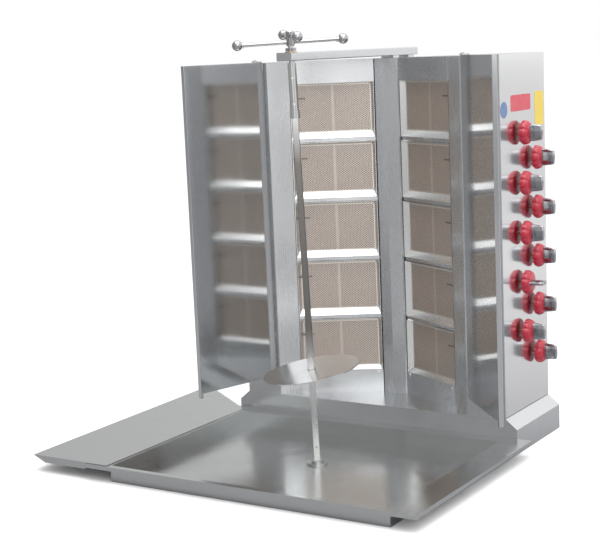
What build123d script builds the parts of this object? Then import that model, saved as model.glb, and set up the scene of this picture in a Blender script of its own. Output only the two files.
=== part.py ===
from build123d import *
from math import atan2, cos, degrees, hypot, radians, sin
import os

# A hand-turned vertical rotisserie broiler for stacked meat, in stainless sheet.
# Frame: millimetres, +Z up, -Y towards the cook, +X towards the control knobs.
# The origin is the middle of the cabinet's underside, on the surface it stands on.

# ---- driving dimensions ---------------------------------------------------------------
SHEET = 1.5                 # stainless sheet of the casing
CABINET_WIDTH = 690.0       # across the outsides of the two side walls
CABINET_DEPTH = 248.0
CABINET_TOP = 882.0
WALL_SEAM = 1.5             # gap between the side walls and the plinth
FRONT = -CABINET_DEPTH / 2  # plane of the column faces
BACK = CABINET_DEPTH / 2

PLINTH_WIDTH = 744.0
PLINTH_HEIGHT = 78.0
PLINTH_SIDE_HEIGHT = 56.0   # upright part of the plinth's ends, below their chamfer

COLUMN_INNER_X = 251.0      # inner edge of each column's front face
POST_INNER_X = 209.0        # where the column's folded-in strip meets the burners
POST_DEPTH = 30.0
BAY_HALF_GAP = 33.0         # half the width of the centre post
BAY_DEPTH = 128.0           # depth of the bay at the centre post
CENTRE_POST_NOSE = 10.0     # the centre post's ridge stands forward by this

BURNER_ROWS = 5
BURNER_PITCH = 143.0
BURNER_FIRST_Z = 198.0      # centre of the lowest row
MESH_WIDTH = 184.0
MESH_HEIGHT = 113.0
FLARE_DEPTH = 13.0          # the burner mesh sits this far behind its flared frame
FLARE_LOW = 14.0
FLARE_HIGH = 5.0
FLARE_SIDE = 6.0
PLENUM_DEPTH = 46.0
PLAQUE_THICK = 13.0
PLAQUE_GAP = 1.5
MESH_THICK = 1.2
TIP_R = 1.6                 # thermocouple tip, and the collar that holds it
TIP_COLLAR_R = 3.0
TIP_REACH = 27.0
TIP_STANDOFF = 4.5          # the tip's height over the mesh
MESH_STANDOFF = 5.0         # air between the mesh and the ceramic plaques
FOOTER_COVER = 7.5          # the footers stop this far below the lowest meshes
HEADER_COVER = 2.5          # the headers start this far above the highest meshes
RAIL_INSET = 3.0            # rails between the burners stand this far behind the bank's front plane
RAIL_GAP = 0.4              # clearance between a rail and the burners above and below it

PAN_HALF_WIDTH = 345.0
PAN_FRONT = FRONT - 542.0
PAN_BACK = FRONT - 35.0
PAN_HEIGHT = 36.0
PAN_FLANGE_X = 407.0        # outer edge of the pan's side flanges
PAN_FLANGE_DROP = 9.0
PAN_FRONT_HEM = 12.0
WING_INNER_X = -350.0
WING_FRONT_X = -560.0
WING_BACK_X = -572.0
WING_FRONT = FRONT - 550.0
WING_BACK_INNER = FRONT - 16.0
WING_BACK_OUTER = FRONT + 143.0
WING_LIP = 14.0
RAIL_FRONT = FRONT - 284.0

SPIT_FOOT_Y = FRONT - 245.5  # the spit's axis where it meets the pan
SPIT_LEAN = 2.39             # degrees the axis leans forward, from foot to arm
SPIT_SQUARE = 14.0
SPINDLE_R = 6.0
RUNNING_GAP = 0.06
ARM_WIDTH = 36.5
ARM_HEIGHT = 18.0
ARM_TOP = 905.0
ARM_FRONT = FRONT - 312.0
ARM_BACK = FRONT + 256.0
PLATE_RADIUS = 108.0
PLATE_HEIGHT = 218.2         # along the spit, from the pan's underside
PLATE_THICK = 2.0
PLATE_HUB_LENGTH = 24.8      # down to the cross pin that the plate rests on
PLATE_HUB_R = 15.5
PLATE_HOLE_GAP = 1.8         # play of the square hole round the spit, each way
PLATE_TILT = (7.6, -155.0)   # degrees off square to the spit, and the way its low side faces

DOOR_WIDTH = 215.0
DOOR_BOTTOM = 124.0
DOOR_TOP = 884.0
DOOR_THICK = 11.0
DOOR_EDGE_DROP = 11.0        # the door's edge channel reaches this much lower than its panel
DOOR_EDGE_DEPTH = 6.0
DOOR_HEM = 11.0
HINGE_X = 270.0
HINGE_Y = FRONT - 20.0
HINGE_R = 3.0
BARREL_R = 5.5
DOOR_REST_ANGLE = {"left": 74.0, "right": 47.5}  # degrees forward of the column faces

KNOB_ROWS = 5
KNOB_PITCH = 112.0
KNOB_COLUMNS = [(FRONT + 106.0, 260.0), (FRONT + 173.0, 200.0)]  # Y and lowest Z of each column
KNOB_TURNED = 1              # index of the knob that stands a quarter turn open
SKIRT_R = 27.0
SKIRT_START = 6.5            # gap between the wall and the knob's skirt
SKIRT_DEPTH = 19.0
GRIP_HEIGHT = 38.0
GRIP_THICK = 12.0
GRIP_DEPTH = 28.0
KNOB_TRAVEL = 4.0            # how far a knob is pushed in to light its burner
STEM_R = 4.0
STEM_FLAT = 2.8
STEM_FLAT_START = SKIRT_START - KNOB_TRAVEL - 1.0  # so that a pushed knob still clears the round part

LOBES = 8
LOBE_CUT = 1.6
LOBE_CUT_R = 7.0

BUSH_R = 9.0
COLLAR_BOTTOM = 908.6
COLLAR_TOP = 915.0
HUB_BOTTOM = 919.0
HUB_TOP = 950.0
HUB_R = 9.0
LOWER_BAR = (927.0, 40.0)    # height along the spit, and direction in plan
UPPER_BAR = (940.0, -50.0)
BAR_R = 4.2
BAR_REACH = 112.0
BALL_R = 11.0
SLEEVE_BOTTOM = 768.0
SLEEVE_TOP = 884.0
SLEEVE_R = 9.2
TENON_TOP = 822.0
SPINDLE_BOTTOM = 826.0
SLEEVE_PINS = (798.0, 853.0)
PIN_R = 2.5
PLATE_PIN = 190.5
FOOT_HOLE = 42.0
SPIT_TURN = 30.0             # how far the square bar is turned about its own axis

SCREW_R = 3.4
SCREW_HEAD = 1.8             # how far a screw's head stands out
SCREW_INSET = 18.0           # from the back panel's screws to the cabinet's edge

SLOT_ROWS = 6                # ventilation slots in each of the back panel's two fields
SLOT_PITCH = 24.0
SLOT_HIGH = 6.0
SLOT_HALF_LENGTH = 55.0
SLOT_COLUMN_X = (-180, 0, 180)
SLOT_FIELD_Z = (160.0, 680.0)  # the lowest slot of each field

PIPE_R = 11.0                # the gas pipes inside, and their branch to each tap
BRANCH_R = 6.0
PIPE_LOW = 96.0
PIPE_OVER = 26.0             # how far a pipe reaches above its highest tap
TUBE_R = 3.0
TUBE_BEND = 8.0
TUBE_RUN_BACK = {"left": 14.0, "right": 24.0}  # how far in front of the back each bank's tubes run

TAP_FRONT = 14.0             # from a tap's middle to the face that its gland stands on
TAP_REAR = 16.0
TAP_HALF_DEPTH = 13.0
TAP_HALF_HEIGHT = 15.0
GLAND_R = 9.0
GLAND_LENGTH = 18.0

HINGE_HALF = 7.0             # half the width of a hinge bracket
HINGE_TAB = 3.0
HINGE_FOOT = 2.0
HINGE_FOOT_LENGTH = 23.0
DOOR_PLAY = 0.4              # between a door's ends and its brackets
HINGE_PIN_IN = 20.0          # how far a hinge pin goes into the door's barrel
HINGE_PIN_ROOM = 4.0         # room left over the pin's end

WALL_X = CABINET_WIDTH / 2
VALVE_X = WALL_X - SHEET - 34.0
MANIFOLD_X = WALL_X - 66.0
INLET_X = 250.0
INLET_Z = 40.0
INLET_R = 10.48             # outside of a G 1/2 thread
INLET_BORE_R = 6.5
PIPE_HOLE_R = 14.0
LEAN = Location((0, SPIT_FOOT_Y, 0), (SPIT_LEAN, 0, 0))

SOCKET_STEPS = ((23.0, 4.0), (14.0, 8.0))  # radius of each step of the spit's socket, and its height
SADDLE_HALF = 14.0
LABEL_THICK = 0.6
WIDE_LABELS = ((58, 166, 756, 792), (191, 240, 718, 795))  # Y behind the front, and Z, of each edge
ROUND_LABEL = (21, 762, 18)  # Y behind the front, Z, and radius


# ---- helpers --------------------------------------------------------------------------
def block(x0, x1, y0, y1, z0, z1):
    """A box between two corners."""
    centre = ((x0 + x1) / 2, (y0 + y1) / 2, (z0 + z1) / 2)
    return Pos(*centre) * Box(abs(x1 - x0), abs(y1 - y0), abs(z1 - z0))


def upright(radius, z0, z1, x=0.0, y=0.0):
    """A cylinder along Z."""
    return Pos(x, y, (z0 + z1) / 2) * Cylinder(radius, z1 - z0)


def along_x(radius, x0, x1, y, z):
    """A cylinder along X."""
    return Pos((x0 + x1) / 2, y, z) * Rot(0, 90, 0) * Cylinder(radius, x1 - x0)


def along_y(radius, y0, y1, x, z):
    """A cylinder along Y."""
    return Pos(x, (y0 + y1) / 2, z) * Rot(90, 0, 0) * Cylinder(radius, y1 - y0)


def prism_z(points, z0, z1):
    """A closed outline in plan, extruded from z0 to z1."""
    return Pos(0, 0, z0) * extrude(make_face(Polyline(*points, close=True)), z1 - z0)


def strip_plan(points, z0, z1):
    """Sheet metal folded along a line in plan; its thickness lies behind the line."""
    sheet = offset(Polyline(*points), SHEET, side=Side.RIGHT, closed=True, kind=Kind.INTERSECTION)
    return Pos(0, 0, z0) * extrude(make_face(sheet.edges()), z1 - z0)


def mirrored(part):
    """The same piece on the other side of the broiler."""
    return mirror(part, about=Plane.YZ)


def group(solids):
    """Several separate solids kept together in one node."""
    return Compound(children=[Solid(s.solid().wrapped) for s in solids])


def burner_frame(side):
    """Where a burner bank's front plane is: its local X runs along the bank, -Y faces the spit."""
    run = POST_INNER_X - BAY_HALF_GAP
    rise = BAY_DEPTH - POST_DEPTH
    turn = degrees(atan2(rise, run))
    middle_x = (POST_INNER_X + BAY_HALF_GAP) / 2
    middle_y = FRONT + (POST_DEPTH + BAY_DEPTH) / 2
    if side == "left":
        return Location((-middle_x, middle_y, 0), (0, 0, turn))
    return Location((middle_x, middle_y, 0), (0, 0, -turn))


BANK_WIDTH = hypot(POST_INNER_X - BAY_HALF_GAP, BAY_DEPTH - POST_DEPTH)
ROW_HEIGHTS = [BURNER_FIRST_Z + BURNER_PITCH * row for row in range(BURNER_ROWS)]
SIDES = ("left", "right")


# ---- base -----------------------------------------------------------------------------
def base_plate():
    """The flat sheet that closes the plinth's underside."""
    inset = SHEET + 0.2
    half = PLINTH_WIDTH / 2 - inset
    return block(-half, half, FRONT + inset, BACK - inset, 0, SHEET)


def plinth_outline(inset):
    """The plinth seen from the front, with its chamfered shoulders, open below."""
    half = PLINTH_WIDTH / 2 - inset
    shoulder = WALL_X - inset * 0.6
    top = PLINTH_HEIGHT - inset
    side = PLINTH_SIDE_HEIGHT - inset * 0.5
    return [(-half, 0), (-half, side), (-shoulder, top), (shoulder, top), (half, side), (half, 0)]


def base_plinth():
    """The folded plinth: ends, shoulders, top, front and back, in one sheet."""
    outer = extrude(make_face(Polyline(*plinth_outline(0), close=True)), CABINET_DEPTH)
    inner = extrude(make_face(Polyline(*plinth_outline(SHEET), close=True)), CABINET_DEPTH - 2 * SHEET)
    stand = Rot(90, 0, 0)
    shell = Pos(0, BACK, 0) * stand * outer - Pos(0, BACK - SHEET, 0) * stand * inner
    pipe_hole = along_y(PIPE_HOLE_R, BACK - 3, BACK + 3, INLET_X, INLET_Z)
    return shell - pipe_hole


def base_rails():
    """Two rails that run forward from the plinth and carry the pan's side flanges."""
    outer = PLINTH_WIDTH / 2
    rail = block(PAN_HALF_WIDTH + 3, outer, RAIL_FRONT, FRONT - 0.5, 0, PAN_HEIGHT - SHEET - 0.3)
    hollow_top = PAN_HEIGHT - 2 * SHEET - 0.3
    rail = rail - block(PAN_HALF_WIDTH + 3 + SHEET, outer - SHEET, RAIL_FRONT - 1, FRONT, -1, hollow_top)
    return group([rail, mirrored(rail)])


# ---- cabinet --------------------------------------------------------------------------
def side_wall():
    """A plain side wall on the +X side."""
    return block(WALL_X - SHEET, WALL_X, FRONT + SHEET + 0.1, BACK, PLINTH_HEIGHT + WALL_SEAM, CABINET_TOP)


def knob_places():
    """Y and Z of every control, front column first, from the bottom up."""
    return [(y, z + KNOB_PITCH * row) for y, z in KNOB_COLUMNS for row in range(KNOB_ROWS)]


def control_wall():
    """The wall with the holes that the valve stems come through."""
    wall = side_wall()
    for y, z in knob_places():
        wall = wall - along_x(STEM_R + 2, WALL_X - 5, WALL_X + 5, y, z)
    return wall


def back_panel():
    """The rear sheet, with rows of ventilation slots."""
    inset = SHEET + 0.2
    panel = block(-WALL_X + inset, WALL_X - inset, BACK - SHEET, BACK, PLINTH_HEIGHT, CABINET_TOP - SHEET)
    slot = Box(2 * SLOT_HALF_LENGTH, 10, SLOT_HIGH)
    slot = fillet(slot.edges().filter_by(Axis.Y), SLOT_HIGH / 2 - 0.1)
    for field_z in SLOT_FIELD_Z:
        for row in range(SLOT_ROWS):
            for x in SLOT_COLUMN_X:
                panel = panel - Pos(x, BACK, field_z + SLOT_HIGH / 2 + row * SLOT_PITCH) * slot
    return panel


def top_panel():
    """The lid, cut back over the bay so that heat and fumes rise freely."""
    inset = SHEET + 0.2
    half = WALL_X - inset
    front = FRONT + inset
    outline = [(-half, front), (-COLUMN_INNER_X - 2, front), (-POST_INNER_X - 4, FRONT + POST_DEPTH + 4)]
    deep = FRONT + BAY_DEPTH
    outline = outline + [(-BAY_HALF_GAP - 6, deep + 3), (-BAY_HALF_GAP, deep + 13)]
    outline = outline + [(-x, y) for x, y in reversed(outline)]
    outline = outline + [(half, BACK - 0.2), (-half, BACK - 0.2)]
    return prism_z(outline, CABINET_TOP - SHEET, CABINET_TOP)


def column(side):
    """A front column: its face, and the strip folded in towards the burners."""
    face = [(-POST_INNER_X, FRONT + POST_DEPTH), (-COLUMN_INNER_X, FRONT), (-WALL_X, FRONT)]
    sheet = strip_plan(face, PLINTH_HEIGHT, CABINET_TOP)
    bend = sheet.edges().filter_by(Axis.Z).filter_by(
        lambda e: abs(e.center().X + COLUMN_INNER_X) < 3 and abs(e.center().Y - FRONT) < 0.1)
    sheet = fillet(bend, 2.0)
    return sheet if side == "left" else mirrored(sheet)


def centre_post():
    """The ridged post between the two burner banks."""
    deep = FRONT + BAY_DEPTH
    half = BAY_HALF_GAP - 0.6
    nose = deep - CENTRE_POST_NOSE
    face = [(-half, deep + 12), (-half, deep), (-half + 3, deep - 3), (0, nose)]
    inside = [(-half + SHEET, deep + 12), (-half + SHEET, deep + 0.6)]
    inside = inside + [(-half + 4, deep - 1.4), (0, nose + SHEET)]
    face = face + [(-x, y) for x, y in reversed(face[:-1])]
    inside = inside + [(-x, y) for x, y in reversed(inside[:-1])]
    return prism_z(face + list(reversed(inside)), PLINTH_HEIGHT, CABINET_TOP)


def bay_fascias():
    """Sheet strips above, below and between the burners of each bank."""
    footer_top = ROW_HEIGHTS[0] - MESH_HEIGHT / 2 - FOOTER_COVER
    header_bottom = ROW_HEIGHTS[-1] + MESH_HEIGHT / 2 + HEADER_COVER
    half = BANK_WIDTH / 2 - 0.6
    pieces = []
    for side in SIDES:
        for z0, z1 in ((PLINTH_HEIGHT, footer_top), (header_bottom, CABINET_TOP)):
            strip = block(-half, half, -0.3 - SHEET, -0.3, z0, z1)
            pieces.append(burner_frame(side) * strip)
        for z in ROW_HEIGHTS[:-1]:
            low = z + MESH_HEIGHT / 2 + FLARE_HIGH + SHEET + RAIL_GAP
            high = z + BURNER_PITCH - MESH_HEIGHT / 2 - FLARE_LOW - SHEET - RAIL_GAP
            rail = block(-half, half, RAIL_INSET, RAIL_INSET + SHEET, low, high)
            pieces.append(burner_frame(side) * rail)
    return group(pieces)


# ---- burners --------------------------------------------------------------------------
def rectangle_at(half_width, low, high, y):
    """An upright rectangular face in a burner's own frame."""
    corners = [(-half_width, y, low), (half_width, y, low), (half_width, y, high), (-half_width, y, high)]
    return make_face(Polyline(*corners, close=True))


def flare(grow, y_front, y_back):
    """The solid between a burner's mouth and its mesh, widened by grow all round."""
    half = MESH_WIDTH / 2
    high = MESH_HEIGHT / 2
    mouth_low = -high - FLARE_LOW - grow
    mouth_high = high + FLARE_HIGH + grow
    mouth = rectangle_at(half + FLARE_SIDE + grow, mouth_low, mouth_high, y_front)
    throat = rectangle_at(half + grow, -high - grow, high + grow, y_back)
    return loft([mouth, throat])


def burner_housing(side):
    """One burner's casing: a flared frame in front of a shallow gas plenum."""
    wall = SHEET * 0.8
    half = MESH_WIDTH / 2
    high = MESH_HEIGHT / 2
    back = FLARE_DEPTH + PLENUM_DEPTH
    body = block(-half - wall, half + wall, FLARE_DEPTH, back, -high - wall, high + wall)
    cavity = block(-half, half, FLARE_DEPTH - 0.01, back - 2, -high, high)
    port = thermocouple_rod(side, TIP_COLLAR_R + 0.05, -FLARE_SIDE - 6, 6)
    return flare(wall, 0, FLARE_DEPTH) + body - flare(0, 0, FLARE_DEPTH) - cavity - port


def burner_housings(side):
    """The five casings of one bank, from the bottom up."""
    one = burner_housing(side)
    return group([burner_frame(side) * Pos(0, 0, z) * one for z in ROW_HEIGHTS])


def ceramic_plaques():
    """Two perforated ceramic plaques side by side in every burner."""
    gap = 0.3
    width = (MESH_WIDTH - PLAQUE_GAP) / 2 - gap
    front = FLARE_DEPTH + MESH_STANDOFF
    pieces = []
    for side in SIDES:
        for z in ROW_HEIGHTS:
            for hand in (-1, 1):
                centre = hand * (PLAQUE_GAP / 2 + width / 2)
                tile = Box(width, PLAQUE_THICK, MESH_HEIGHT - 2 * gap)
                pieces.append(burner_frame(side) * Pos(centre, front + PLAQUE_THICK / 2, z) * tile)
    return group(pieces)


def burner_meshes():
    """The wire guard in front of each pair of plaques."""
    gap = 0.3
    pieces = []
    for side in SIDES:
        for z in ROW_HEIGHTS:
            guard = Box(MESH_WIDTH - 2 * gap, MESH_THICK, MESH_HEIGHT - 2 * gap)
            pieces.append(burner_frame(side) * Pos(0, FLARE_DEPTH + MESH_THICK / 2, z) * guard)
    return group(pieces)


def thermocouple_rod(side, radius, start, end):
    """A rod through a burner's outer edge; start and end count inwards from the mesh's edge."""
    outer = -1 if side == "left" else 1
    near = outer * (MESH_WIDTH / 2 - start)
    far = outer * (MESH_WIDTH / 2 - end)
    return along_x(radius, min(near, far), max(near, far), FLARE_DEPTH - TIP_STANDOFF, MESH_HEIGHT * 0.22)


def thermocouples():
    """A flame-sensing tip that reaches over the outer end of every burner."""
    pieces = []
    for side in SIDES:
        collar = thermocouple_rod(side, TIP_COLLAR_R, -FLARE_SIDE - 4, 5)
        tip = collar + thermocouple_rod(side, TIP_R, -FLARE_SIDE - 2, TIP_REACH)
        for z in ROW_HEIGHTS:
            pieces.append(burner_frame(side) * Pos(0, 0, z) * tip)
    return group(pieces)


# ---- gas train ------------------------------------------------------------------------
def valve_body():
    """A gas tap: its block and stem gland, bored along X for the stem."""
    core = block(-TAP_REAR, TAP_FRONT, -TAP_HALF_DEPTH, TAP_HALF_DEPTH, -TAP_HALF_HEIGHT, TAP_HALF_HEIGHT)
    gland = along_x(GLAND_R, TAP_FRONT, TAP_FRONT + GLAND_LENGTH, 0, 0)
    bore = along_x(STEM_R + RUNNING_GAP, -TAP_REAR / 2, TAP_FRONT + GLAND_LENGTH + 1, 0, 0)
    return core + gland - bore


def valve_bodies():
    """Ten taps behind the control wall, one for each knob."""
    tap = valve_body()
    return group([Pos(VALVE_X, y, z) * tap for y, z in knob_places()])


def gas_manifold():
    """Two upright pipes that feed the taps, joined at the bottom by a crosspiece."""
    x = MANIFOLD_X
    y_first, y_last = [y for y, z in KNOB_COLUMNS]
    pipe = along_y(PIPE_R, y_first, y_last, x, PIPE_LOW)
    for y, z in KNOB_COLUMNS:
        top = z + KNOB_PITCH * (KNOB_ROWS - 1) + PIPE_OVER
        pipe = pipe + upright(PIPE_R, PIPE_LOW, top, x, y) + Pos(x, y, PIPE_LOW) * Sphere(PIPE_R)
    for y, z in knob_places():
        pipe = pipe + along_x(BRANCH_R, x, VALVE_X - TAP_REAR - 0.2, y, z)
    return pipe


def supply_tubes():
    """A bent copper tube from each tap to its own burner."""
    pieces = []
    for index, (y, z) in enumerate(knob_places()):
        side = SIDES[index // KNOB_ROWS]
        row = index % KNOB_ROWS
        mouth = burner_frame(side) * Pos(0, FLARE_DEPTH + PLENUM_DEPTH + 2.2, ROW_HEIGHTS[row])
        start = Vector(VALVE_X, y + TAP_HALF_DEPTH + 0.2, z)
        end = Vector(mouth.position)
        run_y = BACK - TUBE_RUN_BACK[side]
        corner_a = Vector(start.X, run_y, z)
        corner_b = Vector(end.X, run_y, end.Z)
        path = FilletPolyline(start, corner_a, corner_b, end, radius=TUBE_BEND)
        ring = Plane(origin=start, z_dir=path % 0) * Circle(TUBE_R)
        pieces.append(sweep(ring, path=path))
    return group(pieces)


def gas_inlet():
    """The threaded inlet at the back of the plinth, with its hexagon and neck."""
    nipple = along_y(INLET_R, BACK + 3, BACK + 30, INLET_X, INLET_Z)
    hexagon = Pos(INLET_X, BACK + 6, INLET_Z) * Rot(90, 0, 0) * extrude(RegularPolygon(15, 6), 5.6)
    neck = along_y(9.5, BACK - 30, BACK + 5, INLET_X, INLET_Z)
    bore = along_y(INLET_BORE_R, BACK - 20, BACK + 31, INLET_X, INLET_Z)
    return nipple + hexagon + neck - bore


# ---- pan and side tray ----------------------------------------------------------------
def drip_pan():
    """The floor pan: upright walls, a hemmed front rim, and flanges to the sides and the back."""
    wide = PAN_HALF_WIDTH
    top = PAN_HEIGHT
    hem = PAN_FRONT - PAN_FRONT_HEM
    tub = block(-wide, wide, PAN_FRONT, PAN_BACK, 0, top)
    hollow = block(-wide + SHEET, wide - SHEET, PAN_FRONT + SHEET, PAN_BACK - SHEET, SHEET, top + 1)
    rim = block(-PAN_FLANGE_X, PAN_FLANGE_X, hem, FRONT - 0.3, top - SHEET, top)
    pan = tub + rim - hollow
    low = top - PAN_FLANGE_DROP
    for x in (-PAN_FLANGE_X, PAN_FLANGE_X - SHEET):
        pan = pan + block(x, x + SHEET, hem, FRONT - 0.3, low, top)
    pan = pan + block(-PAN_FLANGE_X, PAN_FLANGE_X, hem, hem + SHEET, low, top)
    corners = pan.edges().filter_by(Axis.Z).filter_by(
        lambda e: abs(abs(e.center().X) - wide + SHEET) < 0.2 and e.center().Y < PAN_FRONT + 3)
    return fillet(corners, 5.0)


def wing_tray():
    """A flat side tray hooked over the pan's left flange, with a folded front lip."""
    low = PAN_HEIGHT + 0.1
    plan = [(WING_INNER_X, WING_FRONT), (WING_FRONT_X, WING_FRONT), (WING_BACK_X, WING_BACK_OUTER),
            (WING_INNER_X - 11, WING_BACK_INNER), (WING_INNER_X, WING_BACK_INNER)]
    deck = prism_z(plan, low, low + SHEET)
    lip_face = [(WING_INNER_X, low + SHEET), (WING_FRONT_X, low + SHEET), (WING_FRONT_X, low),
                (WING_FRONT_X + 32, low - WING_LIP), (WING_INNER_X - 60, low - WING_LIP),
                (WING_INNER_X - 60, low), (WING_INNER_X, low)]
    lip = extrude(make_face(Polyline(*lip_face, close=True)), SHEET)
    return deck + Pos(0, WING_FRONT + SHEET, 0) * Rot(90, 0, 0) * lip


def spit_socket():
    """A round step bearing on the pan's floor that locates the spit's foot."""
    disc, boss = [upright(radius, SHEET, SHEET + height, 0, SPIT_FOOT_Y) for radius, height in SOCKET_STEPS]
    foot_hole = LEAN * upright(SPINDLE_R + RUNNING_GAP + 0.02, -5, 20)
    return disc + boss - foot_hole


# ---- arm and spindle ------------------------------------------------------------------
def top_arm():
    """The flat tube over the cabinet that carries the spindle, closed at the front."""
    half = ARM_WIDTH / 2
    low = ARM_TOP - ARM_HEIGHT
    tube = block(-half, half, ARM_FRONT, ARM_BACK, low, ARM_TOP)
    tube = fillet(tube.edges().filter_by(Axis.Y), 2.0)
    bore = block(-half + 2, half - 2, ARM_FRONT + 2, ARM_BACK + 1, low + 2, ARM_TOP - 2)
    return tube - bore - LEAN * upright(BUSH_R + 0.02, ARM_TOP - 40, ARM_TOP + 20)


def arm_bush():
    """The bronze bush that the spindle turns in, its flange on top of the arm."""
    top_slice = block(-40, 40, ARM_FRONT, ARM_FRONT + 80, ARM_TOP - ARM_HEIGHT, ARM_TOP + 2)
    body = LEAN * upright(BUSH_R, ARM_TOP - 40, ARM_TOP + 20)
    flange = LEAN * upright(BUSH_R + 3.5, ARM_TOP - 40, ARM_TOP + 20)
    above_arm = block(-40, 40, ARM_FRONT, ARM_FRONT + 80, ARM_TOP + 0.02, ARM_TOP + 2)
    bore = LEAN * upright(SPINDLE_R + RUNNING_GAP, ARM_TOP - 60, ARM_TOP + 40)
    return (body & top_slice) + (flange & above_arm) - bore


def arm_saddles():
    """Two packers between the cabinet's lid and the arm."""
    half = ARM_WIDTH / 2 - 2
    pads = []
    for y in (FRONT + BAY_DEPTH + 22, BACK - 22):
        pads.append(block(-half, half, y - SADDLE_HALF, y + SADDLE_HALF, CABINET_TOP, ARM_TOP - ARM_HEIGHT))
    return group(pads)


def along_bar(radius, reach, bar):
    """A cylinder through the spit's axis along one of the handle's bars."""
    height, direction = bar
    return Rot(0, 0, direction) * along_x(radius, -reach, reach, 0, height)


def handle_hub():
    """The turned hub that holds the handle's two crossed bars."""
    hub = upright(HUB_R, HUB_BOTTOM, HUB_TOP)
    hub = fillet(hub.edges(), 2.5)
    hub = hub - upright(SPINDLE_R, HUB_BOTTOM - 1, HUB_BOTTOM + 3)
    for bar in (LOWER_BAR, UPPER_BAR):
        hub = hub - along_bar(BAR_R, 40, bar)
    return LEAN * hub


def handle_bars():
    """Two round bars crossed one above the other."""
    return group([LEAN * along_bar(BAR_R, BAR_REACH, bar) for bar in (LOWER_BAR, UPPER_BAR)])


def handle_balls():
    """A ball grip screwed on each end of both bars."""
    balls = []
    for height, direction in (LOWER_BAR, UPPER_BAR):
        for turn in (0, 180):
            ball = Pos(BAR_REACH, 0, height) * Sphere(BALL_R)
            neck = along_x(BAR_R + 1.6, BAR_REACH - BALL_R - 3, BAR_REACH, 0, height)
            socket = along_x(BAR_R, BAR_REACH - 40, BAR_REACH, 0, height)
            balls.append(LEAN * Rot(0, 0, direction + turn) * (ball + neck - socket))
    return group(balls)


def thrust_collar():
    """The collar that carries the spindle's weight on the bush."""
    ring = upright(11.5, COLLAR_BOTTOM, COLLAR_TOP) - upright(SPINDLE_R, COLLAR_BOTTOM - 1, COLLAR_TOP + 1)
    return LEAN * ring


def spindle():
    """The round shaft between the handle and the coupling sleeve."""
    shaft = upright(SPINDLE_R, SPINDLE_BOTTOM, HUB_BOTTOM + 3)
    shaft = shaft - along_bar(PIN_R, 20, (SLEEVE_PINS[1], SPIT_TURN + 90))
    return LEAN * shaft


def coupling_sleeve():
    """The tube that joins the spit to the spindle, cross-drilled for two pins."""
    sleeve = upright(SLEEVE_R, SLEEVE_BOTTOM, SLEEVE_TOP)
    foot_ring = upright(SLEEVE_R + 1.6, SLEEVE_BOTTOM, SLEEVE_BOTTOM + 16)
    sleeve = sleeve + foot_ring - upright(SPINDLE_R, SLEEVE_BOTTOM - 1, SLEEVE_TOP + 1)
    for height in SLEEVE_PINS:
        sleeve = sleeve - along_bar(PIN_R, 20, (height, SPIT_TURN + 90))
    return LEAN * sleeve


def spit_bar():
    """The square spit: a round tenon in the sleeve above, a round foot in the socket below."""
    half = SPIT_SQUARE / 2
    bar = block(-half, half, -half, half, 10.4, SLEEVE_BOTTOM - 0.2)
    bar = chamfer(bar.edges().filter_by(Axis.Z), 1.0)
    bar = Rot(0, 0, SPIT_TURN) * bar
    bar = bar + upright(SPINDLE_R, 2.4, 11) + upright(SPINDLE_R, SLEEVE_BOTTOM - 1, TENON_TOP)
    for height in (FOOT_HOLE, PLATE_PIN, SLEEVE_PINS[0]):
        bar = bar - along_bar(PIN_R, 20, (height, SPIT_TURN + 90))
    return LEAN * bar


def cross_pins():
    """The pin that the plate rests on, and the two that lock the sleeve."""
    pins = [along_bar(PIN_R, 13, (PLATE_PIN, SPIT_TURN + 90))]
    for height in SLEEVE_PINS:
        pins.append(along_bar(PIN_R, SLEEVE_R + 2, (height, SPIT_TURN + 90)))
    return group([LEAN * pin for pin in pins])


def meat_plate():
    """The round plate and its hub, loose on the square spit, so that it leans a little."""
    tilt, low_side = PLATE_TILT
    disc = upright(PLATE_RADIUS, -PLATE_THICK, 0)
    hub = upright(PLATE_HUB_R, -PLATE_HUB_LENGTH, -PLATE_THICK)
    plate = disc + hub
    lean_over = Rot(0, 0, low_side) * Rot(0, tilt, 0) * Rot(0, 0, -low_side)
    hole_half = SPIT_SQUARE / 2 + PLATE_HOLE_GAP
    hole = block(-hole_half, hole_half, -hole_half, hole_half, -40, 40)
    plate = lean_over * plate - Rot(0, 0, SPIT_TURN) * hole
    return LEAN * Pos(0, 0, PLATE_HEIGHT) * plate


# ---- doors ----------------------------------------------------------------------------
def door_leaf():
    """A door in its own frame: hinge axis on Z, the leaf along +X, its polished face on -Y."""
    half = DOOR_THICK / 2
    low = DOOR_BOTTOM - DOOR_EDGE_DROP
    start = DOOR_WIDTH - DOOR_EDGE_DEPTH
    skin = block(0, DOOR_WIDTH - 2, -half, -half + SHEET, DOOR_BOTTOM, DOOR_TOP)
    for z0 in (DOOR_BOTTOM, DOOR_TOP - DOOR_HEM):
        skin = skin + block(0, DOOR_WIDTH - 2, -half, -half + 2 * SHEET, z0, z0 + DOOR_HEM)
    edge = block(start, DOOR_WIDTH, -half, half, low, DOOR_TOP)
    edge = fillet(edge.edges().filter_by(Axis.Z).group_by(Axis.X)[-1], 1.5)
    channel = block(start + SHEET, DOOR_WIDTH - SHEET, -half + SHEET, half - SHEET, low - 1, DOOR_BOTTOM)
    leaf = skin + edge - channel + upright(BARREL_R, DOOR_BOTTOM, DOOR_TOP)
    bore = HINGE_PIN_IN + HINGE_PIN_ROOM
    for end in (DOOR_BOTTOM, DOOR_TOP):
        leaf = leaf - upright(HINGE_R + RUNNING_GAP, end - bore, end + bore)
    return leaf


def door(side):
    """One door at its resting angle."""
    right = Pos(HINGE_X, HINGE_Y, 0) * Rot(0, 0, -DOOR_REST_ANGLE[side]) * door_leaf()
    return right if side == "right" else mirrored(right)


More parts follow.
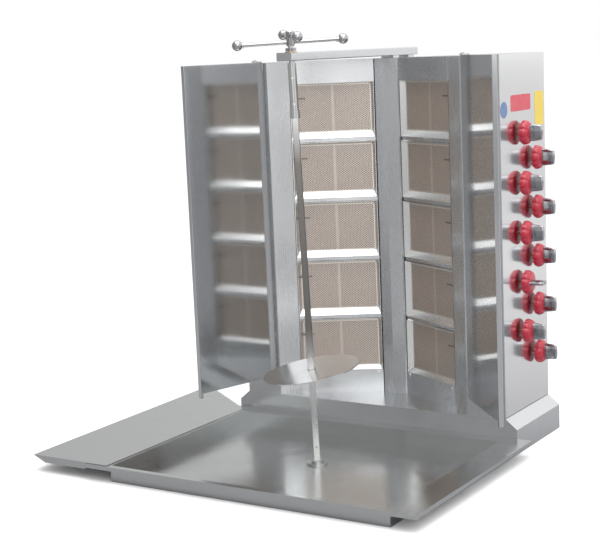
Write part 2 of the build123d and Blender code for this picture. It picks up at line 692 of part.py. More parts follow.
def hinge_bracket(z0, z1, pin_low, pin_high, foot_low, foot_high):
    """A tab that stands out from the column's face, with its welded hinge pin."""
    x0 = HINGE_X - HINGE_HALF
    x1 = HINGE_X + HINGE_HALF
    tab = block(x0, x1, HINGE_Y, FRONT - 0.1, z0, z1) + upright(HINGE_HALF, z0, z1, HINGE_X, HINGE_Y)
    foot = block(x0, x1, FRONT - 0.1 - HINGE_FOOT, FRONT - 0.1, foot_low, foot_high)
    return tab + foot + upright(HINGE_R, pin_low, pin_high, HINGE_X, HINGE_Y)


def hinge_brackets():
    """The four brackets of the two doors."""
    under = DOOR_BOTTOM - DOOR_PLAY
    over = DOOR_TOP + DOOR_PLAY
    low = hinge_bracket(under - HINGE_TAB, under, under - HINGE_TAB / 2, DOOR_BOTTOM + HINGE_PIN_IN,
                        under - HINGE_FOOT_LENGTH, under)
    high = hinge_bracket(over, over + HINGE_TAB, DOOR_TOP - HINGE_PIN_IN, over + HINGE_TAB + 2.6,
                         over + HINGE_TAB - HINGE_FOOT_LENGTH, over + HINGE_TAB)
    return group([low, high, mirrored(low), mirrored(high)])


# ---- controls -------------------------------------------------------------------------
def valve_stem():
    """A tap's D-section stem along X, from inside the tap to the knob."""
    start = VALVE_X - 6
    end = WALL_X + SKIRT_START + SKIRT_DEPTH - 3
    stem = along_x(STEM_R, start, end, 0, 0)
    flat = block(WALL_X + STEM_FLAT_START, end + 1, -9, 9, STEM_FLAT, 9)
    return stem - flat


def knob():
    """A knob: a lobed skirt and a tapered bar grip, bored for the stem."""
    x0 = WALL_X + SKIRT_START
    x1 = x0 + SKIRT_DEPTH
    skirt = along_x(SKIRT_R, x0, x1, 0, 0)
    skirt = fillet(skirt.edges().filter_by(GeomType.CIRCLE), 2.5)
    for index in range(LOBES):
        turn = radians(360 / LOBES * (index + 0.5))
        reach = SKIRT_R + LOBE_CUT_R - LOBE_CUT
        skirt = skirt - along_x(LOBE_CUT_R, x0 - 1, x1 + 1, reach * cos(turn), reach * sin(turn))
    half_thick = GRIP_THICK / 2
    half_high = GRIP_HEIGHT / 2
    grip = block(x1 - 1, x1 + GRIP_DEPTH, -half_thick, half_thick, -half_high, half_high)
    grip = fillet(grip.edges().filter_by(Axis.X), 4.0)
    grip = fillet(grip.edges().group_by(Axis.X)[-1], 2.0)
    bore = along_x(STEM_R + RUNNING_GAP, x0 - 1, x1 - 3 + KNOB_TRAVEL + 0.6, 0, 0)
    bore = bore - block(WALL_X, x1 + 20, -9, 9, STEM_FLAT + RUNNING_GAP, 9)
    return skirt + grip - bore


def control_pieces(piece, index):
    """A stem or knob moved to one control's place; one of them stands a quarter turn open."""
    y, z = knob_places()[index]
    turn = 90 if index == KNOB_TURNED else 0
    return Pos(0, y, z) * Rot(turn, 0, 0) * piece


# ---- fastenings and plates ------------------------------------------------------------
def screw_head(way):
    """A pan head on a face whose outside is towards -Y (way -1) or +Y (way 1)."""
    head = along_y(SCREW_R, min(0, way * SCREW_HEAD), max(0, way * SCREW_HEAD), 0, 0)
    return fillet(head.edges().group_by(Axis.Y)[-1 if way > 0 else 0], 0.9)


def panel_screws():
    """Pan-head screws at the foot of each burner bank and round the back panel."""
    screws = []
    foot_z = ROW_HEIGHTS[0] - MESH_HEIGHT / 2 - FOOTER_COVER - 2 * SCREW_R
    for side in SIDES:
        for x in (-MESH_WIDTH / 2 + SCREW_R, MESH_WIDTH / 2 - SCREW_R):
            screws.append(burner_frame(side) * Pos(x, -0.3 - SHEET, foot_z) * screw_head(-1))
    edge = WALL_X - SCREW_INSET
    for x in (-edge, 0, edge):
        for z in (PLINTH_HEIGHT + 14, CABINET_TOP - 14):
            screws.append(Pos(x, BACK, z) * screw_head(1))
    return group(screws)


def label_plates():
    """Blank data plates on the control wall."""
    plates = []
    for y0, y1, z0, z1 in WIDE_LABELS:
        plates.append(block(WALL_X, WALL_X + LABEL_THICK, FRONT + y0, FRONT + y1, z0, z1))
    y, z, radius = ROUND_LABEL
    plates.append(along_x(radius, WALL_X, WALL_X + LABEL_THICK, FRONT + y, z))
    return group(plates)


# ---- writing the pieces ---------------------------------------------------------------
NODES = {
    "base_plate": base_plate(),
    "base_plinth": base_plinth(),
    "base_rails": base_rails(),
    "left_wall": mirrored(side_wall()),
    "control_wall": control_wall(),
    "back_panel": back_panel(),
    "top_panel": top_panel(),
    "left_column": column("left"),
    "right_column": column("right"),
    "centre_post": centre_post(),
    "bay_fascias": bay_fascias(),
    "burner_housings_left": burner_housings("left"),
    "burner_housings_right": burner_housings("right"),
    "ceramic_plaques": ceramic_plaques(),
    "burner_meshes": burner_meshes(),
    "thermocouples": thermocouples(),
    "gas_manifold": gas_manifold(),
    "valve_bodies": valve_bodies(),
    "supply_tubes": supply_tubes(),
    "gas_inlet": gas_inlet(),
    "drip_pan": drip_pan(),
    "wing_tray": wing_tray(),
    "spit_socket": spit_socket(),
    "top_arm": top_arm(),
    "arm_bush": arm_bush(),
    "arm_saddles": arm_saddles(),
    "hinge_brackets": hinge_brackets(),
    "panel_screws": panel_screws(),
    "label_plates": label_plates(),
    "handle_hub": handle_hub(),
    "handle_bars": handle_bars(),
    "handle_balls": handle_balls(),
    "thrust_collar": thrust_collar(),
    "spindle": spindle(),
    "coupling_sleeve": coupling_sleeve(),
    "cross_pins": cross_pins(),
    "spit_bar": spit_bar(),
    "meat_plate": meat_plate(),
    "left_door": door("left"),
    "right_door": door("right"),
}
for number in range(2 * KNOB_ROWS):
    NODES[f"valve_stem_{number + 1}"] = control_pieces(valve_stem(), number)
    NODES[f"knob_{number + 1}"] = control_pieces(knob(), number)

os.makedirs("parts", exist_ok=True)
for name, shape in NODES.items():
    export_step(shape, f"parts/{name}.step")
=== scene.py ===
import math

import bpy
from mathutils import Matrix, Vector


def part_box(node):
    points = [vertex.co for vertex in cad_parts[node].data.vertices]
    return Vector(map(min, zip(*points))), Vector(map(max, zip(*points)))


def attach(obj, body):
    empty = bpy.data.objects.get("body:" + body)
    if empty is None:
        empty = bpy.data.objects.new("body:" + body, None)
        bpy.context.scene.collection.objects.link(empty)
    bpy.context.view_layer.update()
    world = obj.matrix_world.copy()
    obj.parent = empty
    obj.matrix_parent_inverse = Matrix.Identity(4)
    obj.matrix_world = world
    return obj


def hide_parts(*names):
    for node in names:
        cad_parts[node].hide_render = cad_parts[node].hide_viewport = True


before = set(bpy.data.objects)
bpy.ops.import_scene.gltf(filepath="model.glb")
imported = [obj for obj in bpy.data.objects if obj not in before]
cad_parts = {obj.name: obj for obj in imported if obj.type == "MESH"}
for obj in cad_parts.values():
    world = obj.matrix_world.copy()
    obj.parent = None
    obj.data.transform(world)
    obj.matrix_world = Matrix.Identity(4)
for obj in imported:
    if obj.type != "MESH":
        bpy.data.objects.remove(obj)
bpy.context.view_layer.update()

# A gas-fired vertical broiler in stainless sheet: metres, +Z up, -Y towards the cook.

# ---- driving dimensions, as in the casing ----------------------------------------------
FRONT = -0.124
POST_INNER = Vector((0.209, FRONT + 0.030))   # outer end of a burner bank, in plan
POST_CENTRE = Vector((0.033, FRONT + 0.128))  # inner end of a burner bank, in plan
BURNER_ROWS = 5
BURNER_PITCH = 0.143
BURNER_FIRST_Z = 0.198
MESH_WIDTH = 0.1834
MESH_HEIGHT = 0.1124
MESH_DEPTH = 0.013                            # behind the bank's front plane
MESH_THICK = 0.0012
PLAQUE_DEPTH = 0.018                          # front of the ceramic, behind the bank's front plane
WALL_X = 0.345
KNOB_COUNT = 10
SKIRT_R = 0.027
SKIRT_START = 0.0065
SKIRT_DEPTH = 0.019
SKIRT_PROFILE = [(0, 0.0235), (0.0008, 0.0255), (0.0024, SKIRT_R), (0.0075, SKIRT_R), (0.0125, 0.0255),
                 (0.0165, 0.0225), (0.0185, 0.0185), (SKIRT_DEPTH, 0.0165)]   # way out from the foot, radius
GRIP_DEPTH = 0.028
GRIP_HALF_HEIGHT = 0.019
GRIP_HALF_THICK = 0.006
GRIP_POWER = 2.4                              # how square the grip's section is
GRIP_TAPER = [(-0.0010, 1.0), (0.004, 1.0), (0.018, 0.93), (0.0253, 0.86), (0.0270, 0.78),
              (0.0276, 0.66)]                 # way out from the skirt's face, share of the full section
POINTER_HALF_THICK = 0.0007
POINTER_HALF_HEIGHT = 0.0026
POINTER_DEPTH = 0.0009
POINTER_RISE = GRIP_HALF_HEIGHT * 0.4
POINTER_POWER = 6.0
STEM_BORE_R = 0.0043                          # of the hole in each knob for its valve stem
STEM_BORE_END = 0.0019                        # how far that hole goes into the grip
LOBES = 8
LOBE_DEPTH = 0.0026
TURNED_KNOB = 2                               # this one stands a quarter turn open


# ---- material helpers ------------------------------------------------------------------
def new_material(name):
    """A material with its node tree, its shader and object coordinates."""
    material = bpy.data.materials.new(name)
    material.use_nodes = True
    tree = material.node_tree
    shader = tree.nodes["Principled BSDF"]
    coords = tree.nodes.new("ShaderNodeTexCoord")
    return material, tree, shader, coords.outputs["Object"]


def noise(tree, vector, stretch, detail=3.0, distortion=0.0):
    """A noise factor; stretch is its frequency along X, Y and Z."""
    mapping = tree.nodes.new("ShaderNodeMapping")
    mapping.inputs["Scale"].default_value = stretch
    texture = tree.nodes.new("ShaderNodeTexNoise")
    texture.inputs["Scale"].default_value = 1.0
    texture.inputs["Detail"].default_value = detail
    texture.inputs["Distortion"].default_value = distortion
    tree.links.new(vector, mapping.inputs["Vector"])
    tree.links.new(mapping.outputs["Vector"], texture.inputs["Vector"])
    return texture.outputs["Fac"]


NOISE_SPAN = (0.3, 0.7)                       # where nearly all values of a noise lie


def remap(tree, value, low, high, span=NOISE_SPAN):
    """A value spread from low to high over a span, and held level past its ends."""
    node = tree.nodes.new("ShaderNodeMapRange")
    node.inputs["From Min"].default_value, node.inputs["From Max"].default_value = span
    node.inputs["To Min"].default_value = low
    node.inputs["To Max"].default_value = high
    tree.links.new(value, node.inputs["Value"])
    return node.outputs["Result"]


def blend_colours(tree, factor, first, second):
    """A colour between two, by a factor; each of them is a fixed colour or a node's output."""
    node = tree.nodes.new("ShaderNodeMix")
    node.data_type = "RGBA"
    tree.links.new(factor, node.inputs["Factor"])
    for name, colour in (("A", first), ("B", second)):
        if isinstance(colour, bpy.types.NodeSocket):
            tree.links.new(colour, node.inputs[name])
        else:
            node.inputs[name].default_value = (*colour, 1)
    return node.outputs["Result"]


def combine(tree, operation, first, second):
    """Two values put together by a Math node."""
    node = tree.nodes.new("ShaderNodeMath")
    node.operation = operation
    tree.links.new(first, node.inputs[0])
    tree.links.new(second, node.inputs[1])
    return node.outputs["Value"]


def reach_along(tree, vector, way):
    """How far a point or a direction reaches along a fixed way."""
    node = tree.nodes.new("ShaderNodeVectorMath")
    node.operation = "DOT_PRODUCT"
    node.inputs[1].default_value = way
    tree.links.new(vector, node.inputs[0])
    return node.outputs["Value"]


def white_to_camera(tree, colour):
    """A colour that is plain white where the camera looks straight at it."""
    direct = tree.nodes.new("ShaderNodeLightPath").outputs["Is Camera Ray"]
    return blend_colours(tree, direct, colour, (1, 1, 1))


def bump(tree, shader, height, strength, distance):
    """Tilts the shading by a height."""
    node = tree.nodes.new("ShaderNodeBump")
    node.inputs["Strength"].default_value = strength
    node.inputs["Distance"].default_value = distance
    tree.links.new(height, node.inputs["Height"])
    tree.links.new(node.outputs["Normal"], shader.inputs["Normal"])


SMUDGE_SIZE = (9, 9, 5)
DARK_SHARE = 0.965
LIGHT_SHARE = 1.02


def metal(name, colour, roughness, grain, streak=0.015, smudge=0.06, relief=0.0006):
    """Stainless or plated metal: fine drawn grain, broad smudges, and a slight tint where handled."""
    material, tree, shader, vector = new_material(name)
    fine = noise(tree, vector, grain, detail=4.0)
    broad = noise(tree, vector, SMUDGE_SIZE, detail=5.0, distortion=0.6)
    streaks = remap(tree, fine, roughness - streak, roughness + streak)
    smudges = remap(tree, broad, -smudge / 2, smudge / 2)
    tree.links.new(combine(tree, "ADD", streaks, smudges), shader.inputs["Roughness"])
    dark = tuple(c * DARK_SHARE for c in colour)
    light = tuple(min(1, c * LIGHT_SHARE) for c in colour)
    tint = remap(tree, combine(tree, "ADD", fine, broad), 0, 1)
    tree.links.new(blend_colours(tree, tint, dark, light), shader.inputs["Base Color"])
    shader.inputs["Metallic"].default_value = 1.0
    bump(tree, shader, fine, relief, 0.0002)
    return material


PEEL_GRAIN = (700, 700, 700)
DUST_GRAIN = (60, 60, 60)
DUST_SHARE = 0.85


def enamel(name, colour, roughness, coat=0.0, peel_strength=0.08):
    """Paint or plastic with a faint orange-peel surface and dulled patches."""
    material, tree, shader, vector = new_material(name)
    peel = noise(tree, vector, PEEL_GRAIN, detail=2.0)
    dust = noise(tree, vector, DUST_GRAIN, detail=4.0)
    tree.links.new(remap(tree, dust, roughness * 0.7, roughness * 1.4), shader.inputs["Roughness"])
    dulled = tuple(c * DUST_SHARE for c in colour)
    tree.links.new(blend_colours(tree, dust, dulled, colour), shader.inputs["Base Color"])
    shader.inputs["Coat Weight"].default_value = coat
    bump(tree, shader, peel, peel_strength, 0.0001)
    return material


FLAME_HOLE_SCALE = 420                        # cells to the metre
FLAME_HOLE_SCATTER = 0.15
FLAME_HOLE_EDGE = (0.18, 0.34)                # from the painted shade of a hole to the body round it
# painted shade: the near-black colour given to the inside of each flame hole
FLAME_HOLE_SHADE = (0.05, 0.036, 0.03)
CERAMIC_BROWN = (0.26, 0.175, 0.13)
CERAMIC_PALE = (0.37, 0.275, 0.215)
HEAT_GRAIN = (14, 14, 14)


def ceramic(name):
    """Fired plaques, pierced by fine flame holes whose dark insides are painted shade, and browned unevenly
    by heat.
    """
    material, tree, shader, vector = new_material(name)
    holes = tree.nodes.new("ShaderNodeTexVoronoi")
    holes.inputs["Scale"].default_value = FLAME_HOLE_SCALE
    holes.inputs["Randomness"].default_value = FLAME_HOLE_SCATTER
    tree.links.new(vector, holes.inputs["Vector"])
    heat = noise(tree, vector, HEAT_GRAIN, detail=4.0)
    body = blend_colours(tree, heat, CERAMIC_BROWN, CERAMIC_PALE)
    solid = remap(tree, holes.outputs["Distance"], 0.0, 1.0, span=FLAME_HOLE_EDGE)
    # painted shade: each flame hole is coloured near black for the shade inside it
    tree.links.new(blend_colours(tree, solid, FLAME_HOLE_SHADE, body), shader.inputs["Base Color"])
    shader.inputs["Roughness"].default_value = 0.9
    bump(tree, shader, solid, 0.4, 0.0005)
    return material


def painted_shade_band(material, low, high, fade, tint):
    """Darkens a metal between two heights, as painted shade."""
    tree = material.node_tree
    base = tree.nodes["Principled BSDF"].inputs["Base Color"]
    clean = base.links[0].from_socket
    split = tree.nodes.new("ShaderNodeSeparateXYZ")
    tree.links.new(tree.nodes.new("ShaderNodeTexCoord").outputs["Object"], split.inputs["Vector"])
    height = split.outputs["Z"]
    above = remap(tree, height, 0.0, 1.0, span=(low - fade, low + fade))
    below = remap(tree, height, 1.0, 0.0, span=(high - fade, high + fade))
    band = combine(tree, "MULTIPLY", above, below)
    tree.links.new(blend_colours(tree, band, clean, tint), base)


# ---- materials -------------------------------------------------------------------------
UPRIGHT_GRAIN = (1800, 1800, 9)
LEVEL_GRAIN = (9, 9, 1800)
LID_GRAIN = (9, 1800, 1800)
PAN_GRAIN = (1800, 9, 1800)
EVEN_GRAIN = (400, 400, 400)

STEEL = (0.60, 0.61, 0.62)
brushed = metal("brushed_stainless", STEEL, 0.27, UPRIGHT_GRAIN)
level_steel = metal("level_stainless", STEEL, 0.24, LEVEL_GRAIN)
lid_steel = metal("lid_stainless", STEEL, 0.24, LID_GRAIN)
arm_steel = metal("arm_stainless", STEEL, 0.22, PAN_GRAIN)
wall_steel = metal("wall_stainless", (0.74, 0.74, 0.74), 0.15, UPRIGHT_GRAIN)
mirror_steel = metal("polished_stainless", (0.55, 0.56, 0.57), 0.08, UPRIGHT_GRAIN,
                     streak=0.01, smudge=0.03)
pan_steel = metal("pan_stainless", (0.49, 0.50, 0.50), 0.20, PAN_GRAIN, smudge=0.14)
frame_steel = metal("burner_stainless", (0.74, 0.74, 0.73), 0.20, LEVEL_GRAIN)
wire_steel = metal("burner_wire", (0.86, 0.80, 0.74), 0.42, EVEN_GRAIN)
dark_steel = metal("sensor_steel", (0.22, 0.20, 0.19), 0.45, EVEN_GRAIN)
pipe_steel = enamel("pipe_steel", (0.05, 0.05, 0.055), 0.45)
brass = metal("brass", (0.78, 0.60, 0.28), 0.25, EVEN_GRAIN)
copper = metal("copper", (0.80, 0.42, 0.27), 0.24, EVEN_GRAIN)
bronze = metal("bronze", (0.60, 0.43, 0.22), 0.30, EVEN_GRAIN)
chrome = metal("handle_chrome", (0.40, 0.40, 0.41), 0.12, EVEN_GRAIN, smudge=0.05)
screw_steel = metal("screw_steel", (0.74, 0.74, 0.74), 0.18, EVEN_GRAIN)
bar_steel = metal("spit_steel", (0.62, 0.62, 0.61), 0.24, UPRIGHT_GRAIN, smudge=0.12)
# painted shade: the spit bar is darkened between 0.26 and 0.72 m up, in the bay between the burner banks
painted_shade_band(bar_steel, 0.26, 0.72, 0.05, (0.20, 0.19, 0.18))
plate_steel = metal("plate_steel", (0.62, 0.62, 0.62), 0.18, EVEN_GRAIN, smudge=0.10)
stem_steel = metal("stem_steel", (0.70, 0.63, 0.45), 0.28, EVEN_GRAIN)
knob_red = enamel("knob_red", (0.50, 0.012, 0.038), 0.24, coat=0.5)
knob_chrome = metal("knob_chrome", (0.34, 0.34, 0.36), 0.10, EVEN_GRAIN, streak=0.03)
white_paint = enamel("pointer_white", (0.85, 0.85, 0.83), 0.35)
plate_red = enamel("plate_red", (0.66, 0.10, 0.13), 0.5, peel_strength=0.01)
plate_yellow = enamel("plate_yellow", (0.82, 0.62, 0.10), 0.5, peel_strength=0.01)
plate_blue = enamel("plate_blue", (0.16, 0.24, 0.44), 0.5, peel_strength=0.01)
cement = enamel("joint_cement", (0.62, 0.55, 0.49), 0.9)
plaque = ceramic("burner_ceramic")

NODE_MATERIALS = {
    brushed: ["base_plate", "left_wall", "back_panel", "left_column",
              "right_column", "centre_post", "hinge_brackets"],
    level_steel: ["base_plinth", "base_rails", "bay_fascias"],
    lid_steel: ["top_panel"],
    arm_steel: ["top_arm", "arm_saddles"],
    wall_steel: ["control_wall"],
    mirror_steel: ["left_door", "right_door"],
    pan_steel: ["drip_pan", "wing_tray", "spit_socket"],
    frame_steel: ["burner_housings_left", "burner_housings_right"],
    dark_steel: ["thermocouples"],
    pipe_steel: ["gas_manifold"],
    brass: ["valve_bodies", "gas_inlet"],
    copper: ["supply_tubes"],
    bronze: ["arm_bush"],
    screw_steel: ["panel_screws"],
    chrome: ["handle_hub", "handle_bars", "handle_balls", "thrust_collar"],
    bar_steel: ["spindle", "coupling_sleeve", "cross_pins", "spit_bar"],
    plate_steel: ["meat_plate"],
    plaque: ["ceramic_plaques"],
    stem_steel: [f"valve_stem_{k}" for k in range(1, KNOB_COUNT + 1)],
}
for material, names in NODE_MATERIALS.items():
    for name in names:
        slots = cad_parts[name].data.materials
        slots.clear()
        slots.append(material)


# ---- mesh helpers ----------------------------------------------------------------------
SHARP_ANGLE = math.radians(38)


def piece(name, points, faces, material, body, smooth=False):
    """A mesh piece that rides on a body."""
    mesh = bpy.data.meshes.new(name)
    mesh.from_pydata([tuple(p) for p in points], [], faces)
    mesh.update()
    mesh.materials.append(material)
    if smooth:
        mesh.shade_smooth()
        mesh.set_sharp_from_angle(angle=SHARP_ANGLE)
    made = bpy.data.objects.new(name, mesh)
    bpy.context.scene.collection.objects.link(made)
    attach(made, body)
    return made


def lofted(rings, pierced=False):
    """Points and faces of a form through rings of equal length: capped at its ends, or a closed tube."""
    count = len(rings[0])
    points = [p for ring in rings for p in ring]
    faces = []
    levels = len(rings)
    for level in range(levels if pierced else levels - 1):
        low = level * count
        high = (level + 1) % levels * count
        for k in range(count):
            after = (k + 1) % count
            faces.append((low + k, low + after, high + after, high + k))
    if not pierced:
        faces.append(tuple(reversed(range(count))))
        faces.append(tuple(range((levels - 1) * count, levels * count)))
    return points, faces


# ---- burner guards ---------------------------------------------------------------------
DIAMOND_WIDE = 0.0070
DIAMOND_HIGH = 0.0045
STRAND = 0.0009
GUARD_RIM = 0.0022
TINY = 1e-6


def bank_matrix(side):
    """A bank's frame: X along the bank, Y into it, Z up."""
    hand = -1 if side == "left" else 1
    outer = Vector((hand * POST_INNER.x, POST_INNER.y, 0))
    inner = Vector((hand * POST_CENTRE.x, POST_CENTRE.y, 0))
    along = (inner - outer).normalized() * -hand
    into = Vector((0, 0, 1)).cross(along)
    middle = (outer + inner) / 2
    matrix = Matrix((along, into, Vector((0, 0, 1)))).transposed().to_4x4()
    matrix.translation = middle
    return matrix


def burner_matrix(side, row):
    """The frame of one burner, at the middle of its guard."""
    return bank_matrix(side) @ Matrix.Translation((0, 0, BURNER_FIRST_Z + BURNER_PITCH * row))


def clipped(start_x, slope):
    """The stretch of a slanted strand inside the guard's rectangle, or None."""
    half_w = MESH_WIDTH / 2 - GUARD_RIM / 2
    half_h = MESH_HEIGHT / 2 - GUARD_RIM / 2
    x0, z0 = start_x, -half_h
    x1, z1 = start_x + 2 * half_h / slope, half_h
    ends = []
    for x, z in ((x0, z0), (x1, z1)):
        inside_x = max(-half_w, min(half_w, x))
        ends.append((inside_x, z + (inside_x - x) * slope))
    if any(abs(z) > half_h + TINY for x, z in ends):
        return None
    return ends if math.dist(*ends) > STRAND else None


def strip(points, faces, ends, half, y0, y1):
    """Adds a flat strand between two points in the guard's plane."""
    (xa, za), (xb, zb) = ends
    length = math.hypot(xb - xa, zb - za)
    side_x = -(zb - za) / length * half
    side_z = (xb - xa) / length * half
    first = len(points)
    for y in (y0, y1):
        for x, z, sign in ((xa, za, -1), (xb, zb, -1), (xb, zb, 1), (xa, za, 1)):
            points.append(Vector((x + sign * side_x, y, z + sign * side_z)))
    for face in ((0, 1, 2, 3), (7, 6, 5, 4), (0, 4, 5, 1), (1, 5, 6, 2), (2, 6, 7, 3), (3, 7, 4, 0)):
        faces.append(tuple(first + k for k in face))


def guard(side, row):
    """One burner's diamond guard: crossed strands inside a narrow rim."""
    points, faces = [], []
    slope = DIAMOND_HIGH / DIAMOND_WIDE
    reach = MESH_WIDTH / 2 + MESH_HEIGHT / slope
    middle = MESH_DEPTH + MESH_THICK / 2
    for lean, y0, y1 in ((1, MESH_DEPTH, middle), (-1, middle, MESH_DEPTH + MESH_THICK)):
        x = -reach
        while x < reach:
            ends = clipped(x, slope)
            if ends:
                strip(points, faces, [(lean * px, pz) for px, pz in ends], STRAND / 2, y0, y1)
            x += DIAMOND_WIDE
    half_w = (MESH_WIDTH - GUARD_RIM) / 2
    half_h = (MESH_HEIGHT - GUARD_RIM) / 2
    rims = [[(-half_w, z), (half_w, z)] for z in (-half_h, half_h)]
    rims += [[(x, -half_h), (x, half_h)] for x in (-half_w, half_w)]
    for ends in rims:
        strip(points, faces, ends, GUARD_RIM / 2, MESH_DEPTH, MESH_DEPTH + MESH_THICK)
    place = burner_matrix(side, row)
    return piece(f"burner_guard_{side}_{row + 1}", [place @ p for p in points], faces, wire_steel,
                 "frame")


for side in ("left", "right"):
    for row in range(BURNER_ROWS):
        made = guard(side, row)
        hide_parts("burner_meshes")


# ---- rings for turned, lobed and rounded forms -----------------------------------------
RING_POINTS = 96


def lobed_ring(x, radius):
    """A ring whose edge is scalloped between the lobes."""
    ring = []
    for k in range(RING_POINTS):
        turn = 2 * math.pi * k / RING_POINTS
        valley = max(0.0, math.cos(LOBES * turn + math.pi)) ** 2
        r = radius - LOBE_DEPTH * valley * radius / SKIRT_R
        ring.append(Vector((x, r * math.cos(turn), r * math.sin(turn))))
    return ring


def rounded_bar(x, half_y, half_z, power):
    """A ring round a bar: an ellipse at power 2, squarer as the power rises."""
    ring = []
    for k in range(RING_POINTS):
        turn = 2 * math.pi * k / RING_POINTS
        c, s = math.cos(turn), math.sin(turn)
        ring.append(Vector((x, half_y * math.copysign(abs(c) ** (2 / power), c),
                            half_z * math.copysign(abs(s) ** (2 / power), s))))
    return ring


# ---- the joint between each burner's two plaques ---------------------------------------
JOINT_HALF = 0.0034
JOINT_THICK = 0.0011
JOINT_LEVELS = [(0.0, 1.0), (JOINT_THICK * 0.6, 1.0), (JOINT_THICK, 0.55)]    # way out, share of the width
JOINT_POWER = 8.0


def joint_strip(side, row):
    """The raised bead of cement down the middle of a burner."""
    rings = [rounded_bar(dx - PLAQUE_DEPTH, JOINT_HALF * s, MESH_HEIGHT / 2, JOINT_POWER)
             for dx, s in JOINT_LEVELS]
    points, faces = lofted(rings)
    face_out = Matrix.Rotation(math.radians(-90), 4, "Z")
    place = burner_matrix(side, row) @ face_out
    piece(f"joint_strip_{side}_{row + 1}", [place @ p for p in points], faces, cement, "frame",
          smooth=True)


for side in ("left", "right"):
    for row in range(BURNER_ROWS):
        joint_strip(side, row)


# ---- knobs -----------------------------------------------------------------------------
def stem_bore(*places):
    """The rings of a round hole for the valve stem."""
    return [rounded_bar(x, STEM_BORE_R, STEM_BORE_R, power=2.0) for x in places]


def knob(number):
    """A scalloped red skirt with a chrome bar grip and a white pointer."""
    corner, far_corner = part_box(f"knob_{number}")
    turn = math.radians(90) if number == TURNED_KNOB else 0.0
    centre = Matrix.Translation((0, (corner.y + far_corner.y) / 2, (corner.z + far_corner.z) / 2))
    place = centre @ Matrix.Rotation(turn, 4, "X")
    body = f"knob_{number}"
    x0 = WALL_X + SKIRT_START
    x1 = x0 + SKIRT_DEPTH

    rings = stem_bore(x1, x0) + [lobed_ring(x0 + dx, r) for dx, r in SKIRT_PROFILE]
    points, faces = lofted(rings, pierced=True)
    skirt = piece(f"knob_skirt_{number}", [place @ p for p in points], faces, knob_red, body,
                  smooth=True)
    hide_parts(f"knob_{number}")

    rings = stem_bore(x1 + STEM_BORE_END, x1 + GRIP_TAPER[0][0])
    rings += [rounded_bar(x1 + dx, GRIP_HALF_THICK * s, GRIP_HALF_HEIGHT * s, GRIP_POWER)
              for dx, s in GRIP_TAPER]
    points, faces = lofted(rings)
    piece(f"knob_grip_{number}", [place @ p for p in points], faces, knob_chrome, body,
          smooth=True)

    rings = [rounded_bar(x1 + dx, POINTER_HALF_THICK, POINTER_HALF_HEIGHT, POINTER_POWER)
             for dx in (GRIP_DEPTH - POINTER_DEPTH, GRIP_DEPTH)]
    points, faces = lofted(rings)
    line = place @ Matrix.Translation((0, 0, POINTER_RISE))
    piece(f"knob_pointer_{number}", [line @ p for p in points], faces, white_paint, body,
          smooth=True)


for number in range(1, KNOB_COUNT + 1):
    knob(number)


# ---- blank plates on the control wall --------------------------------------------------
PLATE_LEVELS = [(0.0, 1.0), (0.0004, 1.0), (0.0006, 0.97), (0.0004, 0.94)]    # way out, share of the size
SQUARE_PLATE = 14.0                           # the power of a nearly square outline
ROUND_PLATE = 2.0
BLANK_PLATES = [                              # name, material, from and to in depth behind the front, in Z
    ("blank_plate_wide", plate_red, 0.058, 0.166, 0.756, 0.792, SQUARE_PLATE),
    ("blank_plate_tall", plate_yellow, 0.191, 0.240, 0.718, 0.795, SQUARE_PLATE),
    ("blank_plate_round", plate_blue, 0.003, 0.039, 0.744, 0.780, ROUND_PLATE),
]


def blank_plate(name, material, y0, y1, z0, z1, power):
    """A blank enamelled plate with a pressed rim, round at power 2."""
    centre = Vector((0, FRONT + (y0 + y1) / 2, (z0 + z1) / 2))
    half_y, half_z = (y1 - y0) / 2, (z1 - z0) / 2
    rings = [rounded_bar(WALL_X + dx, half_y * s, half_z * s, power) for dx, s in PLATE_LEVELS]
    points, faces = lofted(rings)
    made = piece(name, [centre + p for p in points], faces, material, "frame")
    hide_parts("label_plates")


for name, material, y0, y1, z0, z1, power in BLANK_PLATES:
    blank_plate(name, material, y0, y1, z0, z1, power)


# ---- stage, light and camera -----------------------------------------------------------
BRIGHT_SIDE = (0.78, 0.18, 0.50)              # the way the surroundings grow brighter
SKY_STEPS = [(0.08, 0.28), (0.85, 1.35)]      # share of the way across, brightness
FLOOR_BRIGHT_WAY = (0.55, 0.83, 0.0)          # painted light and shade: the floor's colour is paler behind the object and dimmer in front, as its steel shows it
FLOOR_BRIGHT_FROM = 3.0                       # how far that way before it is fully pale
FLOOR_PAINTED_SHADE = (0.36, 0.36, 0.37)
FLOOR_PAINTED_LIGHT = (0.74, 0.74, 0.75)
FLOOR_REACH = 60.0
FLOOR_Z = -0.0006                             # just under the object's feet
SOFTBOXES = [                                 # name, place, point aimed at, width, height, watts
    ("overhead", (0.2, -0.6, 3.2), (0, -0.3, 0), 3.0, 3.0, 62),
    ("front_right", (3.0, -3.4, 2.6), (0, -0.2, 0.4), 2.2, 2.2, 34),
    ("front_strip", (1.25, -3.1, 0.6), (-0.12, -0.05, 0.6), 0.7, 1.6, 3.6),
]


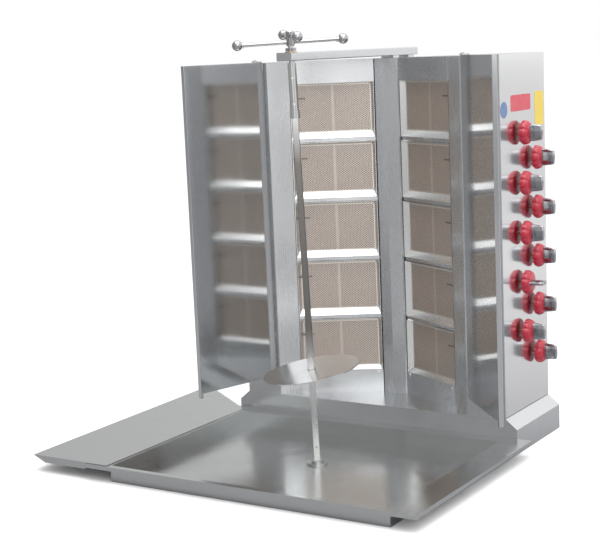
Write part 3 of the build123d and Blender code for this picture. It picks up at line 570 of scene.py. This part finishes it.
def floor():
    """A floor well beyond the view: plain white to the camera, and to everything else painted dim in front
    of the object and pale behind it, as painted shade and light for the steel to reflect.
    """
    corners = [(FLOOR_REACH * x, FLOOR_REACH * y, FLOOR_Z) for x, y in ((-1, -1), (1, -1), (1, 1), (-1, 1))]
    mesh = bpy.data.meshes.new("floor")
    mesh.from_pydata(corners, [], [(0, 1, 2, 3)])
    material, tree, shader, vector = new_material("floor_white")
    shader.inputs["Roughness"].default_value = 0.85
    behind = reach_along(tree, vector, FLOOR_BRIGHT_WAY)
    paleness = remap(tree, behind, 0.0, 1.0, span=(0.0, FLOOR_BRIGHT_FROM))
    # painted light and shade on the floor: dim in front of the object, pale behind it, seen in the steel's
    # reflections
    shade = blend_colours(tree, paleness, FLOOR_PAINTED_SHADE, FLOOR_PAINTED_LIGHT)
    tree.links.new(white_to_camera(tree, shade), shader.inputs["Base Color"])
    mesh.materials.append(material)
    made = bpy.data.objects.new("floor", mesh)
    bpy.context.scene.collection.objects.link(made)


def softbox(name, place, target, width, height, power):
    """A rectangular area light aimed at a point."""
    data = bpy.data.lights.new(name, "AREA")
    data.shape = "RECTANGLE"
    data.size = width
    data.size_y = height
    data.energy = power
    lamp = bpy.data.objects.new(name, data)
    lamp.location = place
    lamp.rotation_euler = (Vector(target) - Vector(place)).to_track_quat("-Z", "Y").to_euler()
    bpy.context.scene.collection.objects.link(lamp)


def sky():
    """Soft studio surroundings, white to the eye: bright to the right and above, greyer front left."""
    world = bpy.data.worlds.new("studio")
    world.use_nodes = True
    tree = world.node_tree
    coords = tree.nodes.new("ShaderNodeTexCoord")
    across = reach_along(tree, coords.outputs["Generated"], BRIGHT_SIDE)
    ramp = tree.nodes.new("ShaderNodeValToRGB")
    tree.links.new(remap(tree, across, 0.0, 1.0, span=(-1.0, 1.0)), ramp.inputs["Fac"])
    for element, (position, level) in zip(ramp.color_ramp.elements, SKY_STEPS):
        element.position = position
        element.color = (level, level, level, 1)
    tree.links.new(white_to_camera(tree, ramp.outputs["Color"]), tree.nodes["Background"].inputs["Color"])
    bpy.context.scene.world = world


CAMERA_PLACE = (1.5986, -2.9164, 0.9091)
CAMERA_AZIMUTH = 32.522                       # degrees round from the front, towards +X
CAMERA_ELEVATION = 9.134                      # degrees that it looks down
CAMERA_ROLL = -2.435
CAMERA_LENS = 84.08
CAMERA_SENSOR = 36.0


def camera():
    """The camera, aimed by its azimuth, elevation and roll."""
    data = bpy.data.cameras.new("camera")
    data.sensor_width = CAMERA_SENSOR
    data.lens = CAMERA_LENS
    data.clip_start, data.clip_end = 0.05, 200.0
    made = bpy.data.objects.new("camera", data)
    turn = Matrix.Rotation(math.radians(CAMERA_AZIMUTH), 4, "Z")
    tip = Matrix.Rotation(math.radians(90 - CAMERA_ELEVATION), 4, "X")
    roll = Matrix.Rotation(math.radians(CAMERA_ROLL), 4, "Z")
    made.matrix_world = Matrix.Translation(CAMERA_PLACE) @ turn @ tip @ roll
    bpy.context.scene.collection.objects.link(made)
    bpy.context.scene.camera = made


floor()
for name, place, target, width, height, power in SOFTBOXES:
    softbox(name, place, target, width, height, power)
sky()
camera()
bpy.context.scene.view_settings.view_transform = "Standard"
